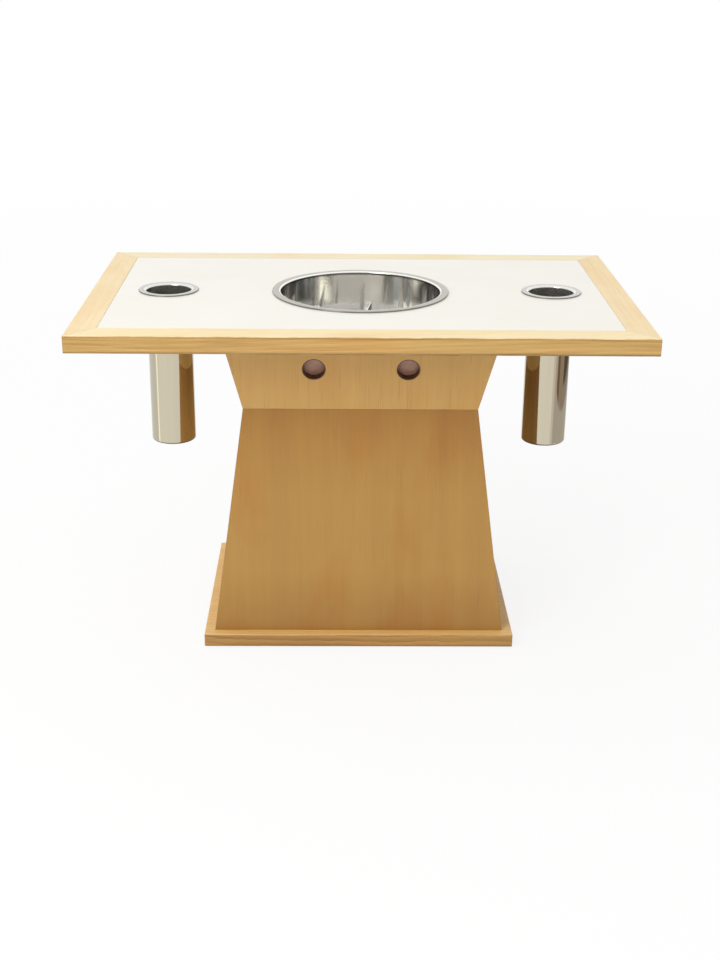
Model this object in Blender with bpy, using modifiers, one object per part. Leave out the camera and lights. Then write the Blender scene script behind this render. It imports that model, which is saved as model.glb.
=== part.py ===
import math

import bmesh
import bpy
from mathutils import Vector

# Driving dimensions, in metres: +Z up, front towards -Y, origin on the floor under the middle

# Table top
TOP_LENGTH = 1.200
TOP_DEPTH = 0.773
TABLE_HEIGHT = 0.763
RAIL_WIDTH = 0.060
RAIL_HEIGHT = 0.037
RAIL_ARRIS = 0.0015
SLAB_THICKNESS = 0.012
TONGUE_THICKNESS = 0.008
TONGUE_LENGTH = 0.010

# Pot well, spun from sheet
WELL_OPENING = 0.356
WELL_FLANGE_WIDTH = 0.0195
WELL_FLANGE_RISE = 0.0030
WELL_DEPTH = 0.125
WELL_FLOOR_HOLE = 0.090
WELL_FOLD = 0.0040
WELL_BEND = 0.0060
WELL_SHEET = 0.0012
WELL_LIP = 0.0018
SEAL_WIDTH = 0.008
LUG_HEIGHT = 0.054
LUG_FOOT = 0.035
LUG_SHEET = 0.0030
LUG_BEND_ROOM = 0.003
LUG_TURN = math.radians(38)
LUG_FIRST_ANGLE = math.radians(80.5)
LUG_NAMES = ("back", "left", "front", "right")

# Ladle cups, deep drawn from sheet
CUP_FROM_END = 0.171
CUP_TUBE = 0.101
CUP_FLANGE_WIDTH = 0.0165
CUP_FLANGE_RISE = 0.0028
CUP_LENGTH = 0.351
CUP_FOLD = 0.0060
CUP_BEND = 0.0060
CUP_SHEET = 0.0012
CUP_LIP = 0.0018

# Waisted pedestal: funnel above, spreading foot below
FUNNEL_TOP_LENGTH = 0.598
FUNNEL_FLARE = 0.043
FUNNEL_HEIGHT = 0.1785
FOOT_LENGTH = 0.651
FOOT_DEPTH = 0.471
PANEL_THICKNESS = 0.018
WELL_ROOM = 0.0165
CLEAT_WIDTH = 0.022
CLEAT_HEIGHT = 0.028
WAIST_CLEAT_REACH = 0.025

# Blanked holes in the front of the funnel
HOLE_DIAMETER = 0.051
HOLE_SPACING = 0.2025
HOLE_DROP = 0.082
CAP_SHEET = 0.0016
CAP_CROWN = 0.0015
CAP_LIP = 0.004

# Base board and its pads
BASE_MARGIN = 0.023
BASE_THICKNESS = 0.030
BASE_ARRIS = 0.0015
CABLE_HOLE = 0.060
PAD_DIAMETER = 0.036
PAD_THICKNESS = 0.003
PAD_FROM_EDGE = 0.040

# Wood screws
SCREW_LENGTH = 0.045
SCREW_SHANK = 0.005
SCREW_TIP = 0.006
SCREW_HEAD = 0.010
SCREW_HEAD_FLAT = 0.0066
SCREW_HEAD_EDGE = 0.0018
SCREW_HEAD_HEIGHT = 0.0035
SCREW_FROM_CORNER = 0.110
COUNTERBORE_DEPTH = 0.010

# Clearances
SEAT_GAP = 0.0003
SCREW_CLEARANCE = 0.0003
CUP_CLEARANCE = 0.0010
WELL_CLEARANCE = 0.0010
LUG_CLEARANCE = 0.0005
CUT_MARGIN = 0.010

# Facets of the turned pieces
WELL_STEPS = 64
CUP_STEPS = 40
SMALL_STEPS = 20
SCREW_STEPS = 10
ARC_STEPS = 3

# Finishes: colour, roughness, metallic
PALE_OAK = ((0.84, 0.68, 0.42), 0.45, 0.0)
GOLDEN_OAK = ((0.50, 0.31, 0.11), 0.45, 0.0)
WHITE_STONE = ((0.90, 0.89, 0.84), 0.25, 0.0)
BOARD = ((0.55, 0.42, 0.26), 0.75, 0.0)
STEEL = ((0.62, 0.61, 0.58), 0.12, 1.0)
SILICONE = ((0.72, 0.72, 0.70), 0.55, 0.0)
BROWN_PLASTIC = ((0.06, 0.025, 0.012), 0.28, 0.0)
FELT = ((0.05, 0.045, 0.04), 0.95, 0.0)
ZINC = ((0.60, 0.58, 0.50), 0.35, 1.0)

# Sides of the table in the order of quarter turns from the front
SIDES = ("front", "right", "back", "left")

# Levels and places worked out from the driving dimensions
BASE_LOW = PAD_THICKNESS
BASE_TOP = BASE_LOW + BASE_THICKNESS
TOP_UNDERSIDE = TABLE_HEIGHT - RAIL_HEIGHT
SLAB_UNDERSIDE = TABLE_HEIGHT - SLAB_THICKNESS
CORE_TOP = SLAB_UNDERSIDE - SEAT_GAP
WAIST_LEVEL = TOP_UNDERSIDE - FUNNEL_HEIGHT
WELL_RADIUS = WELL_OPENING / 2
WELL_BODY_RADIUS = WELL_RADIUS + WELL_SHEET
WELL_FLANGE_RADIUS = WELL_RADIUS + WELL_FLANGE_WIDTH
WELL_FLOOR = TABLE_HEIGHT - WELL_DEPTH
WELL_CUT_RADIUS = WELL_RADIUS + WELL_FOLD + WELL_CLEARANCE
CUP_RADIUS = CUP_TUBE / 2
CUP_CUT_RADIUS = CUP_RADIUS + CUP_FOLD + CUP_CLEARANCE
CUP_X = TOP_LENGTH / 2 - CUP_FROM_END
FUNNEL_HALF_LENGTH = FUNNEL_TOP_LENGTH / 2
FUNNEL_HALF_DEPTH = WELL_BODY_RADIUS + WELL_ROOM + CLEAT_WIDTH + SEAT_GAP + PANEL_THICKNESS
FUNNEL_LEAN = math.atan2(FUNNEL_FLARE, FUNNEL_HEIGHT)
HOLE_LEVEL = TOP_UNDERSIDE - HOLE_DROP

parts = bpy.data.collections.new("hot_pot_table")
cutters = bpy.data.collections.new("cutters")


def clear_scene():
    for thing in list(bpy.data.objects):
        bpy.data.objects.remove(thing, do_unlink=True)
    bpy.context.scene.collection.children.link(parts)
    bpy.context.scene.collection.children.link(cutters)


def finish_material(name, finish):
    colour, roughness, metallic = finish
    material = bpy.data.materials.new(name + "_finish")
    material.use_nodes = True
    shader = material.node_tree.nodes["Principled BSDF"]
    shader.inputs["Base Color"].default_value = (*colour, 1.0)
    shader.inputs["Roughness"].default_value = roughness
    shader.inputs["Metallic"].default_value = metallic
    material.diffuse_color = (*colour, 1.0)
    return material


def add_part(name, model, finish, location=(0, 0, 0), rotation=(0, 0, 0)):
    mesh = bpy.data.meshes.new(name)
    model.to_mesh(mesh)
    model.free()
    part = bpy.data.objects.new(name, mesh)
    part.location = location
    part.rotation_euler = rotation
    mesh.materials.append(finish_material(name, finish))
    parts.objects.link(part)
    return part


def add_cutter(name, radius, low, high, steps, location=(0, 0, 0), rotation=(0, 0, 0)):
    model = bmesh.new()
    bmesh.ops.create_cone(
        model, cap_ends=True, segments=steps, radius1=radius, radius2=radius, depth=high - low
    )
    bmesh.ops.translate(model, verts=model.verts, vec=(0, 0, (low + high) / 2))
    mesh = bpy.data.meshes.new(name)
    model.to_mesh(mesh)
    model.free()
    cutter = bpy.data.objects.new(name, mesh)
    cutter.location = location
    cutter.rotation_euler = rotation
    cutter.hide_render = True
    cutter.display_type = "WIRE"
    cutters.objects.link(cutter)
    return cutter


def cut(part, cutter):
    modifier = part.modifiers.new(cutter.name, "BOOLEAN")
    modifier.operation = "DIFFERENCE"
    modifier.solver = "EXACT"
    modifier.object = cutter


# A solid lofted upwards through level sections that have equal numbers of plan points
def lofted(name, sections, finish):
    model = bmesh.new()
    placed = [Vector((x, y, sections[0][0])) for x, y in sections[0][1]]
    face = model.faces.new([model.verts.new(point) for point in placed])
    underside = face
    for level, plan in sections[1:]:
        raised = bmesh.ops.extrude_face_region(model, geom=[face])["geom"]
        if face is not underside:
            bmesh.ops.delete(model, geom=[face], context="FACES_ONLY")
        face = next(piece for piece in raised if isinstance(piece, bmesh.types.BMFace))
        target = [Vector((x, y, level)) for x, y in plan]
        for corner in face.verts:
            nearest = min(range(len(placed)), key=lambda index: (corner.co - placed[index]).length)
            corner.co = target[nearest]
        placed = target
    bmesh.ops.recalc_face_normals(model, faces=model.faces)
    return add_part(name, model, finish)


# A profile of (radius, height) turned about the vertical: it runs down its outer side
def turned(name, profile, closed, steps, finish, location=(0, 0, 0), rotation=(0, 0, 0)):
    model = bmesh.new()
    points = [model.verts.new((radius, 0, height)) for radius, height in profile]
    for first, second in zip(points, points[1:]):
        model.edges.new((first, second))
    if closed:
        model.edges.new((points[-1], points[0]))
    part = add_part(name, model, finish, location, rotation)
    screw = part.modifiers.new("turn", "SCREW")
    screw.axis = "Z"
    screw.angle = math.tau
    screw.steps = steps
    screw.render_steps = steps
    screw.use_merge_vertices = True
    screw.merge_threshold = 0.00002
    return part


def arc(centre, radius, start, end, steps=ARC_STEPS):
    points = []
    for step in range(steps + 1):
        angle = math.radians(start + (end - start) * step / steps)
        points.append((centre[0] + radius * math.cos(angle), centre[1] + radius * math.sin(angle)))
    return points


def rectangle(half_length, half_depth):
    return [
        (-half_length, -half_depth),
        (half_length, -half_depth),
        (half_length, half_depth),
        (-half_length, half_depth),
    ]


# A plan point laid out for the front, turned to another side
def turned_to(side, point):
    x, y = point
    for _ in range(SIDES.index(side)):
        x, y = -y, x
    return (x, y)


# Plan of one mitred member of a rectangular ring, of the outer half sizes given
def mitred_plan(side, half_length, half_depth, width):
    lengthwise = side in ("front", "back")
    run = half_length if lengthwise else half_depth
    out = half_depth if lengthwise else half_length
    trim = SEAT_GAP / math.sqrt(2)
    plan = [
        (-run + trim, -out),
        (run - trim, -out),
        (run - width - trim, -out + width),
        (-run + width + trim, -out + width),
    ]
    return [turned_to(side, point) for point in plan]


# Outer half sizes of the pedestal at a level
def pedestal_half(level):
    waist = (FUNNEL_HALF_LENGTH - FUNNEL_FLARE, FUNNEL_HALF_DEPTH - FUNNEL_FLARE)
    if level >= WAIST_LEVEL:
        far = (FUNNEL_HALF_LENGTH, FUNNEL_HALF_DEPTH)
        share = (level - WAIST_LEVEL) / FUNNEL_HEIGHT
    else:
        far = (FOOT_LENGTH / 2, FOOT_DEPTH / 2)
        share = (WAIST_LEVEL - level) / (WAIST_LEVEL - BASE_TOP)
    return tuple(near + (end - near) * share for near, end in zip(waist, far))


# One side of the pedestal, or of a frame inside it, between levels
def pedestal_member(name, side, levels, inset, width, finish):
    sections = []
    for level in levels:
        half_length, half_depth = pedestal_half(level)
        sections.append((level, mitred_plan(side, half_length - inset, half_depth - inset, width)))
    return lofted(name, sections, finish)


def build_top():
    core_half_length = TOP_LENGTH / 2 - RAIL_WIDTH - SEAT_GAP
    core_half_depth = TOP_DEPTH / 2 - RAIL_WIDTH - SEAT_GAP
    field = rectangle(core_half_length, core_half_depth)
    tongue = rectangle(core_half_length + TONGUE_LENGTH, core_half_depth + TONGUE_LENGTH)
    tongue_low = (TOP_UNDERSIDE + CORE_TOP - TONGUE_THICKNESS) / 2
    tongue_high = tongue_low + TONGUE_THICKNESS
    slab = lofted("top_slab", [(SLAB_UNDERSIDE, field), (TABLE_HEIGHT, field)], WHITE_STONE)
    core_sections = [
        (TOP_UNDERSIDE, field),
        (tongue_low, field),
        (tongue_low, tongue),
        (tongue_high, tongue),
        (tongue_high, field),
        (CORE_TOP, field),
    ]
    core = lofted("core_board", core_sections, BOARD)

    groove_low = tongue_low - SEAT_GAP
    groove_high = tongue_high + SEAT_GAP
    for side in SIDES:
        full = mitred_plan(side, TOP_LENGTH / 2, TOP_DEPTH / 2, RAIL_WIDTH)
        grooved = mitred_plan(side, TOP_LENGTH / 2, TOP_DEPTH / 2, RAIL_WIDTH - TONGUE_LENGTH - SEAT_GAP)
        eased = mitred_plan(
            side, TOP_LENGTH / 2 - RAIL_ARRIS, TOP_DEPTH / 2 - RAIL_ARRIS, RAIL_WIDTH - RAIL_ARRIS
        )
        rail_sections = [
            (TOP_UNDERSIDE, eased),
            (TOP_UNDERSIDE + RAIL_ARRIS, full),
            (groove_low, full),
            (groove_low, grooved),
            (groove_high, grooved),
            (groove_high, full),
            (TABLE_HEIGHT - RAIL_ARRIS, full),
            (TABLE_HEIGHT, eased),
        ]
        lofted("edge_rail_" + side, rail_sections, PALE_OAK)

    low = TOP_UNDERSIDE - CUT_MARGIN
    high = TABLE_HEIGHT + CUT_MARGIN
    holes = [add_cutter("well_hole", WELL_CUT_RADIUS, low, high, WELL_STEPS)]
    for hand, x in (("left", -CUP_X), ("right", CUP_X)):
        holes.append(add_cutter("cup_hole_" + hand, CUP_CUT_RADIUS, low, high, CUP_STEPS, (x, 0, 0)))
    for hole in holes:
        cut(slab, hole)
        cut(core, hole)
    return core


# Rim of a flanged sheet vessel: the outer lip turned down, the flange and the fold into the wall
def flange_outside(radius, rise, lip, fold, sheet, wall_radius):
    return (
        arc((radius - lip, rise - lip), lip, 90, 0)
        + [(radius, SEAT_GAP), (radius - sheet, SEAT_GAP), (radius - sheet, rise - sheet)]
        + arc((wall_radius + fold, rise - fold), fold - sheet, 90, 180)
    )


def flange_inside(rise, fold, wall_radius):
    return arc((wall_radius + fold, rise - fold), fold, 180, 90)


def build_well():
    bend_centre = WELL_BODY_RADIUS - WELL_BEND
    hole_radius = WELL_FLOOR_HOLE / 2
    profile = (
        flange_outside(WELL_FLANGE_RADIUS, WELL_FLANGE_RISE, WELL_LIP, WELL_FOLD, WELL_SHEET, WELL_RADIUS)
        + arc((bend_centre, WELL_BEND - WELL_DEPTH), WELL_BEND, 0, -90)
        + [(hole_radius, -WELL_DEPTH), (hole_radius, WELL_SHEET - WELL_DEPTH)]
        + arc((bend_centre, WELL_BEND - WELL_DEPTH), WELL_BEND - WELL_SHEET, -90, 0)
        + flange_inside(WELL_FLANGE_RISE, WELL_FOLD, WELL_RADIUS)
    )
    turned("pot_well", profile, True, WELL_STEPS, STEEL, (0, 0, TABLE_HEIGHT))

    seal_outer = WELL_CUT_RADIUS + SEAL_WIDTH
    seal_low = SEAT_GAP
    seal_high = WELL_FLANGE_RISE - WELL_SHEET - SEAT_GAP
    seal_profile = [
        (seal_outer, seal_high),
        (seal_outer, seal_low),
        (WELL_CUT_RADIUS, seal_low),
        (WELL_CUT_RADIUS, seal_high),
    ]
    turned("well_seal", seal_profile, True, WELL_STEPS, SILICONE, (0, 0, TABLE_HEIGHT))

    corner = WELL_BEND + LUG_BEND_ROOM
    outline = [(corner, 0), (LUG_FOOT, 0), (0, LUG_HEIGHT), (0, corner)]
    for index, hand in enumerate(LUG_NAMES):
        angle = LUG_FIRST_ANGLE + index * math.tau / len(LUG_NAMES)
        model = bmesh.new()
        face = model.faces.new([model.verts.new((x, -LUG_SHEET / 2, z)) for x, z in outline])
        raised = bmesh.ops.extrude_face_region(model, geom=[face])["geom"]
        moved = [piece for piece in raised if isinstance(piece, bmesh.types.BMVert)]
        bmesh.ops.translate(model, verts=moved, vec=(0, LUG_SHEET, 0))
        bmesh.ops.recalc_face_normals(model, faces=model.faces)
        reach = WELL_RADIUS - LUG_SHEET / 2 - LUG_CLEARANCE
        foot = (reach * math.cos(angle), reach * math.sin(angle), WELL_FLOOR + WELL_SHEET + SEAT_GAP)
        add_part("hob_lug_" + hand, model, STEEL, foot, (0, 0, angle + math.pi / 2 + LUG_TURN))


def build_ladle_cups():
    inner = CUP_RADIUS - CUP_SHEET
    flange_radius = CUP_RADIUS + CUP_FLANGE_WIDTH
    bend_centre = CUP_RADIUS - CUP_BEND
    profile = (
        [(0, CUP_SHEET - CUP_LENGTH)]
        + arc((bend_centre, CUP_BEND - CUP_LENGTH), CUP_BEND - CUP_SHEET, -90, 0)
        + flange_inside(CUP_FLANGE_RISE, CUP_FOLD, inner)
        + flange_outside(flange_radius, CUP_FLANGE_RISE, CUP_LIP, CUP_FOLD, CUP_SHEET, inner)
        + arc((bend_centre, CUP_BEND - CUP_LENGTH), CUP_BEND, 0, -90)
        + [(0, -CUP_LENGTH)]
    )
    for hand, x in (("left", -CUP_X), ("right", CUP_X)):
        turned("ladle_cup_" + hand, profile, False, CUP_STEPS, STEEL, (x, 0, TABLE_HEIGHT))


def build_pedestal():
    funnel_levels = (WAIST_LEVEL + SEAT_GAP / 2, TOP_UNDERSIDE - SEAT_GAP)
    foot_levels = (BASE_TOP + SEAT_GAP, WAIST_LEVEL - SEAT_GAP / 2)
    waist_levels = (WAIST_LEVEL - WAIST_CLEAT_REACH, WAIST_LEVEL, WAIST_LEVEL + WAIST_CLEAT_REACH)
    top_levels = (TOP_UNDERSIDE - SEAT_GAP - CLEAT_HEIGHT, TOP_UNDERSIDE - SEAT_GAP)
    base_levels = (BASE_TOP + SEAT_GAP, BASE_TOP + SEAT_GAP + CLEAT_HEIGHT)
    inside = PANEL_THICKNESS + SEAT_GAP
    members = {}
    for side in SIDES:
        members["upper_" + side] = pedestal_member(
            "upper_panel_" + side, side, funnel_levels, 0, PANEL_THICKNESS, GOLDEN_OAK
        )
        members["lower_" + side] = pedestal_member(
            "lower_panel_" + side, side, foot_levels, 0, PANEL_THICKNESS, GOLDEN_OAK
        )
        for place, levels in (("top", top_levels), ("waist", waist_levels), ("base", base_levels)):
            members[place + "_" + side] = pedestal_member(
                place + "_cleat_" + side, side, levels, inside, CLEAT_WIDTH, BOARD
            )
    return members


def build_hole_caps(front_panel):
    half_depth = pedestal_half(HOLE_LEVEL)[1]
    outward = (math.pi / 2 + FUNNEL_LEAN, 0, 0)
    depth = PANEL_THICKNESS * math.cos(FUNNEL_LEAN)
    outer = HOLE_DIAMETER / 2 - SEAT_GAP
    inner = outer - CAP_SHEET
    lip = HOLE_DIAMETER / 2 + CAP_LIP
    lip_high = -depth - SEAT_GAP
    crown_radius = (inner**2 + CAP_CROWN**2) / (2 * CAP_CROWN)
    crown_angle = math.degrees(math.asin(inner / crown_radius))
    profile = (
        arc((0, lip_high + CAP_CROWN - crown_radius), crown_radius, 90, 90 - crown_angle)
        + [(inner, -SEAT_GAP), (outer, -SEAT_GAP), (outer, lip_high), (lip, lip_high)]
        + [(lip, lip_high - CAP_SHEET), (0, lip_high - CAP_SHEET)]
    )
    for hand, x in (("left", -HOLE_SPACING / 2), ("right", HOLE_SPACING / 2)):
        place = (x, -half_depth, HOLE_LEVEL)
        hole = add_cutter(
            "front_hole_" + hand,
            HOLE_DIAMETER / 2,
            -depth - CUT_MARGIN,
            CUT_MARGIN,
            SMALL_STEPS,
            place,
            outward,
        )
        cut(front_panel, hole)
        turned("hole_cap_" + hand, profile, False, SMALL_STEPS, BROWN_PLASTIC, place, outward)


def build_base():
    half_length = FOOT_LENGTH / 2 + BASE_MARGIN
    half_depth = FOOT_DEPTH / 2 + BASE_MARGIN
    full = rectangle(half_length, half_depth)
    eased = rectangle(half_length - BASE_ARRIS, half_depth - BASE_ARRIS)
    sections = [
        (BASE_LOW, eased),
        (BASE_LOW + BASE_ARRIS, full),
        (BASE_TOP - BASE_ARRIS, full),
        (BASE_TOP, eased),
    ]
    base = lofted("base_plate", sections, GOLDEN_OAK)
    cut(
        base,
        add_cutter("cable_hole", CABLE_HOLE / 2, BASE_LOW - CUT_MARGIN, BASE_TOP + CUT_MARGIN, SMALL_STEPS),
    )
    for depth_name, y in (("front", PAD_FROM_EDGE - half_depth), ("back", half_depth - PAD_FROM_EDGE)):
        for hand, x in (("left", PAD_FROM_EDGE - half_length), ("right", half_length - PAD_FROM_EDGE)):
            radius = PAD_DIAMETER / 2
            profile = [(0, BASE_LOW - SEAT_GAP), (radius, BASE_LOW - SEAT_GAP), (radius, 0), (0, 0)]
            turned(f"foot_pad_{depth_name}_{hand}", profile, False, SMALL_STEPS, FELT, (x, y, 0))
    return base


# A pan-head screw driven upwards: its head seats on the level given, and its hole is cut in the parts given
def add_screw(name, x, y, seat, parts_held):
    profile = [
        (0, SCREW_LENGTH),
        (SCREW_SHANK / 2, SCREW_LENGTH - SCREW_TIP),
        (SCREW_SHANK / 2, 0),
        (SCREW_HEAD / 2, 0),
        (SCREW_HEAD / 2, -SCREW_HEAD_EDGE),
        (SCREW_HEAD_FLAT / 2, -SCREW_HEAD_HEIGHT),
        (0, -SCREW_HEAD_HEIGHT),
    ]
    place = (x, y, seat - SEAT_GAP)
    turned(name, profile, False, SCREW_STEPS, ZINC, place)
    hole = add_cutter(
        name + "_hole",
        SCREW_SHANK / 2 + SCREW_CLEARANCE,
        -CUT_MARGIN / 2,
        SCREW_LENGTH + SEAT_GAP,
        SCREW_STEPS,
        place,
    )
    for part in parts_held:
        cut(part, hole)


# Middle line of a cleat's level face, and the reach of its screws along it
def cleat_line(side, level):
    half_length, half_depth = pedestal_half(level)
    inset = PANEL_THICKNESS + SEAT_GAP + CLEAT_WIDTH / 2
    lengthwise = side in ("front", "back")
    run = (half_length if lengthwise else half_depth) - inset
    out = (half_depth if lengthwise else half_length) - inset
    return run, out


def build_screws(core, base, members):
    seat = TOP_UNDERSIDE - SEAT_GAP - CLEAT_HEIGHT
    for side in SIDES:
        run, out = cleat_line(side, (seat + TOP_UNDERSIDE) / 2)
        for number, along in ((1, SCREW_FROM_CORNER - run), (2, run - SCREW_FROM_CORNER)):
            x, y = turned_to(side, (along, -out))
            add_screw(f"top_screw_{side}_{number}", x, y, seat, (members["top_" + side], core))

    seat = BASE_LOW + COUNTERBORE_DEPTH
    for side in SIDES:
        run, out = cleat_line(side, BASE_TOP)
        places = [(1, SCREW_FROM_CORNER - run), (2, run - SCREW_FROM_CORNER)]
        if side in ("left", "right"):
            places = [(1, 0.0)]
        for number, along in places:
            x, y = turned_to(side, (along, -out))
            name = f"base_screw_{side}_{number}"
            add_screw(name, x, y, seat, (base, members["base_" + side]))
            bore = SCREW_HEAD / 2 + SCREW_CLEARANCE
            cut(base, add_cutter(name + "_bore", bore, -CUT_MARGIN, seat, SCREW_STEPS, (x, y, 0)))


def main():
    clear_scene()
    core = build_top()
    build_well()
    build_ladle_cups()
    members = build_pedestal()
    build_hole_caps(members["upper_front"])
    base = build_base()
    build_screws(core, base, members)
    print("hot pot table:", len(parts.objects), "pieces")


main()
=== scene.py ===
import math
import bmesh
import bpy
from mathutils import Matrix, Vector


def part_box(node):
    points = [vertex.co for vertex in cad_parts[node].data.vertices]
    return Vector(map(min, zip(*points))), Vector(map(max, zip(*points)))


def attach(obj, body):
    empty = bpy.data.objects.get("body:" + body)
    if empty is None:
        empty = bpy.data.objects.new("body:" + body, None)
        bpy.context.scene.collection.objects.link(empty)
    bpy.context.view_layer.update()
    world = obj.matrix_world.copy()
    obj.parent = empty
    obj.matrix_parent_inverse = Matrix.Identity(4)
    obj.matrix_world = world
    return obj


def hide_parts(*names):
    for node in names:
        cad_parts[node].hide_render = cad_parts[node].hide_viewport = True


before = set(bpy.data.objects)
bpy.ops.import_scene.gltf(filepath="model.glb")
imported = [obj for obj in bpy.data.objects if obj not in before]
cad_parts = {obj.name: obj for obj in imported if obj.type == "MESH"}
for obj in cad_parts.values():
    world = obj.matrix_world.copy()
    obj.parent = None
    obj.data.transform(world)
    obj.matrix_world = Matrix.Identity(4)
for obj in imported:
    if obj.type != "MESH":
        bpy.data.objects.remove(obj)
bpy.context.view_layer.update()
print("frame loaded,", len(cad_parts), "nodes")

sides = ("Front", "Right", "Back", "Left")  # each a quarter turn on from the one before
sameWithin = 0.00002  # edges are picked by their place to within this
cutWithin = 0.0000001
mergeWithin = 0.000001


# modelling helpers

def startMesh():
    bm = bmesh.new()
    bm.loops.layers.float.new("edge")  # 1 on rounded edges, read by the edge wear and painted edge highlight in the materials
    return bm


def looseObject(name, bm):
    mesh = bpy.data.meshes.new(name)
    bm.to_mesh(mesh)
    bm.free()
    thing = bpy.data.objects.new(name, mesh)
    bpy.context.scene.collection.objects.link(thing)
    return thing


def seatPiece(name, bm, node, materials, body="table", sharp=40, even=False):
    piece = looseObject(name, bm)
    for material in materials:
        piece.data.materials.append(material)
    piece.data.shade_smooth()
    piece.data.set_sharp_from_angle(angle=math.radians(sharp))
    if even:  # flat faces stay flat beside their rounded edges
        shade = piece.modifiers.new("evenShade", "WEIGHTED_NORMAL")
        shade.keep_sharp = True
    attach(piece, body)
    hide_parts(node)


def near(a, b):
    return abs(a - b) < sameWithin


def edgesWhere(bm, test):
    return [edge for edge in bm.edges if all(test(vert.co) for vert in edge.verts)]


def ringEdges(bm, radius, height):
    return edgesWhere(bm, lambda co: near(co.xy.length, radius) and near(co.z, height))


def roundEdges(bm, edges, width, segments):
    layer = bm.loops.layers.float["edge"]
    made = bmesh.ops.bevel(bm, geom=edges, offset=width, offset_type="OFFSET", affect="EDGES",
                           segments=segments, profile=0.5, material=-1, clamp_overlap=True)
    for face in made["faces"]:
        for loop in face.loops:
            loop[layer] = 1.0


def moveBy(bm, vec):
    bmesh.ops.translate(bm, verts=bm.verts, vec=vec)


def turnRound(bm, degrees):  # about the vertical through the origin
    bmesh.ops.rotate(bm, verts=bm.verts, cent=(0, 0, 0),
                     matrix=Matrix.Rotation(math.radians(degrees), 3, "Z"))


def drawOut(bm, faces, along):
    drawn = bmesh.ops.extrude_face_region(bm, geom=faces)
    verts = [item for item in drawn["geom"] if isinstance(item, bmesh.types.BMVert)]
    bmesh.ops.translate(bm, verts=verts, vec=along)


def cutAway(bm, point, normal):
    cut = bmesh.ops.bisect_plane(bm, geom=bm.verts[:] + bm.edges[:] + bm.faces[:], dist=cutWithin,
                                 plane_co=point, plane_no=normal, clear_outer=True)
    rim = [item for item in cut["geom_cut"] if isinstance(item, bmesh.types.BMEdge)]
    bmesh.ops.edgeloop_fill(bm, edges=rim)


def boxMesh(size):  # centred on the origin
    bm = startMesh()
    bmesh.ops.create_cube(bm, size=1.0)
    bmesh.ops.scale(bm, verts=bm.verts, vec=size)
    return bm


def drillRod(radius, depth, steps, matrix):
    bm = startMesh()
    bmesh.ops.create_cone(bm, cap_ends=True, segments=steps, radius1=radius, radius2=radius,
                          depth=depth, matrix=matrix)
    return bm


def boreHoles(bm, drills):  # Boolean cuts, evaluated at once so that no drill stays in the scene
    block = looseObject("block", bm)
    tools = [looseObject("drill", drill) for drill in drills]
    for tool in tools:
        bore = block.modifiers.new("bore", "BOOLEAN")
        bore.operation = "DIFFERENCE"
        bore.solver = "EXACT"
        bore.object = tool
    bored = bmesh.new()
    bored.from_object(block, bpy.context.evaluated_depsgraph_get())
    for thing in [block] + tools:
        mesh = thing.data
        bpy.data.objects.remove(thing)
        bpy.data.meshes.remove(mesh)
    return bored


def spunSheet(profile, steps):  # profile of (radius, height) turned about the vertical
    bm = startMesh()
    verts = [bm.verts.new((radius, 0, height)) for radius, height in profile]
    edges = [bm.edges.new(pair) for pair in zip(verts, verts[1:])]
    bmesh.ops.spin(bm, geom=verts + edges, cent=(0, 0, 0), axis=(0, 0, 1), dvec=(0, 0, 0),
                   angle=math.tau, steps=steps, use_merge=True)
    bmesh.ops.remove_doubles(bm, verts=bm.verts, dist=mergeWithin)
    bmesh.ops.recalc_face_normals(bm, faces=bm.faces)
    return bm


def paintFaces(bm, index, test):  # test takes a face's middle and its normal
    bm.normal_update()
    for face in bm.faces:
        if test(face.calc_center_median(), face.normal):
            face.material_index = index


def nodeMiddle(node):
    low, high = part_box(node)
    return (low + high) / 2


# node helpers

noiseSpan = (0.3, 0.7)  # where most of a noise texture's values lie
socketKinds = {"Vector": "Vector", "Light Tone": "Color", "Dark Tone": "Color", "Color": "Color"}


def feed(tree, socket, value):  # a link from another node, or a plain value
    if isinstance(value, bpy.types.NodeSocket):
        tree.links.new(value, socket)
    else:
        socket.default_value = value


def addNode(tree, kind, inputs=None, **settings):
    node = tree.nodes.new(kind)
    for name, value in settings.items():
        setattr(node, name, value)
    for name, value in (inputs or {}).items():
        feed(tree, node.inputs[name], value)
    return node


def newGroup(name, takes, gives):
    tree = bpy.data.node_groups.new(name, "ShaderNodeTree")
    for way, labels in (("INPUT", takes), ("OUTPUT", gives)):
        for label in labels:  # plain numbers unless socketKinds says otherwise
            kind = socketKinds.get(label, "Float")
            tree.interface.new_socket(label, in_out=way, socket_type="NodeSocket" + kind)
    return tree, tree.nodes.new("NodeGroupInput").outputs, tree.nodes.new("NodeGroupOutput").inputs


def useGroup(tree, group, inputs):
    return addNode(tree, "ShaderNodeGroup", inputs, node_tree=group).outputs


def mapped(tree, vector, location=(0, 0, 0), rotation=(0, 0, 0), scale=(1, 1, 1)):  # turned in degrees
    turned = tuple(math.radians(angle) for angle in rotation)
    return addNode(tree, "ShaderNodeMapping", {"Vector": vector, "Location": location,
                   "Rotation": turned, "Scale": scale}).outputs[0]


def noise(tree, vector, stretch, detail=2.0, roughness=0.5):  # stretch along each axis, or one for all
    scale = stretch if isinstance(stretch, tuple) else (stretch,) * 3
    return addNode(tree, "ShaderNodeTexNoise", {"Vector": mapped(tree, vector, scale=scale),
                   "Scale": 1.0, "Detail": detail, "Roughness": roughness}).outputs


def reach(tree, value, low, high, toLow=0.0, toHigh=1.0):
    return addNode(tree, "ShaderNodeMapRange", {"Value": value, "From Min": low, "From Max": high,
                   "To Min": toLow, "To Max": toHigh}).outputs[0]


def sums(tree, operation, a, b=0.0, clamp=False):
    return addNode(tree, "ShaderNodeMath", {0: a, 1: b}, operation=operation, use_clamp=clamp).outputs[0]


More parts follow.
